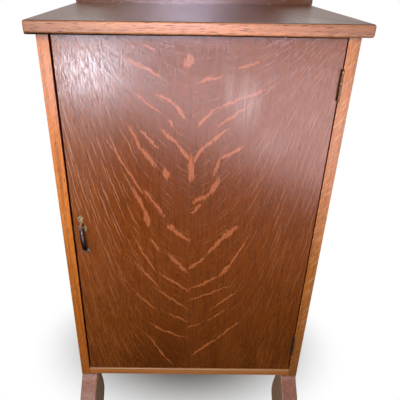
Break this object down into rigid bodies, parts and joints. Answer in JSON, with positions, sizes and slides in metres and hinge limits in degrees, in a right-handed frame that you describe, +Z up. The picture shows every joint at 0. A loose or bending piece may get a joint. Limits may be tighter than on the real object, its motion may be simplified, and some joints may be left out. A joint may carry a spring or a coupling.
{
  "type": "sheet music cabinet",
  "caption": "Upright oak cabinet for sheet music: one veneered door on side hinges, thin fixed shelves behind it, overhanging top with a crest rail, sawn scroll feet.",
  "frame": {"origin": "on the floor, under the middle of the box round the whole cabinet", "axes": "+Z up, +X to the right seen from the front, +Y from the front to the back"},
  "size_m": [0.464, 0.389, 0.908],
  "materials": {
    "case_oak": "golden brown varnished quarter-sawn oak",
    "top_oak": "dark red-brown oak under glossy varnish",
    "door_veneer": "bookmatched quarter-sawn oak veneer, satin varnish",
    "inside_wood": "plain oak, thin shellac",
    "old_brass": "aged brass",
    "dark_brass": "dark patinated brass",
    "steel": "plain steel"
  },
  "bodies": {
    "case": {"side_panel_left": "case_oak", "side_panel_right": "case_oak", "bottom_board": "case_oak", "rail_front": "inside_wood", "rail_back": "inside_wood", "back_board_left": "inside_wood", "back_board_middle": "inside_wood", "back_board_right": "inside_wood", "back_nails": "steel", "shelf_1": "inside_wood", "shelf_2": "inside_wood", "shelf_3": "inside_wood", "shelf_4": "inside_wood", "shelf_5": "inside_wood", "shelf_6": "inside_wood", "door_stop": "inside_wood", "top_board": "top_oak", "top_screws": "steel", "crest_rail": "top_oak", "crest_dowels": "inside_wood", "foot_front_left": "case_oak", "foot_front_right": "case_oak", "foot_rear_left": "case_oak", "foot_rear_right": "case_oak", "foot_dowels": "inside_wood", "glue_blocks": "inside_wood", "hinge_case_leaf_upper": "dark_brass", "hinge_case_leaf_lower": "dark_brass", "hinge_pin_upper": "dark_brass", "hinge_pin_lower": "dark_brass", "hinge_case_screws": "old_brass", "strike_plate": "old_brass", "strike_screws": "old_brass"},
    "door": {"door_core": "inside_wood", "door_veneer_left": "door_veneer", "door_veneer_right": "door_veneer", "door_veneer_back": "inside_wood", "hinge_door_leaf_upper": "dark_brass", "hinge_door_leaf_lower": "dark_brass", "hinge_door_screws": "old_brass", "pull_plate_upper": "old_brass", "pull_foot": "old_brass", "pull_post": "old_brass", "pull_grip": "dark_brass", "pull_screws": "old_brass", "pull_nut": "old_brass", "catch_sleeve": "old_brass", "catch_spring": "steel"},
    "plunger": {"catch_plunger": "old_brass"}
  },
  "joints": [
    {"name": "door_swing", "type": "hinge", "parent": "case", "child": "door", "pos_m": [0.2018, -0.14465, 0.478], "axis": [0, 0, 1], "range_deg": [0, 175]},
    {"name": "catch_travel", "type": "slide", "parent": "door", "child": "plunger", "axis": [1, 0, 0], "range_m": [0, 0.0019], "stiffness_N_per_m": 400, "deforming": ["catch_spring"]}
  ]
}
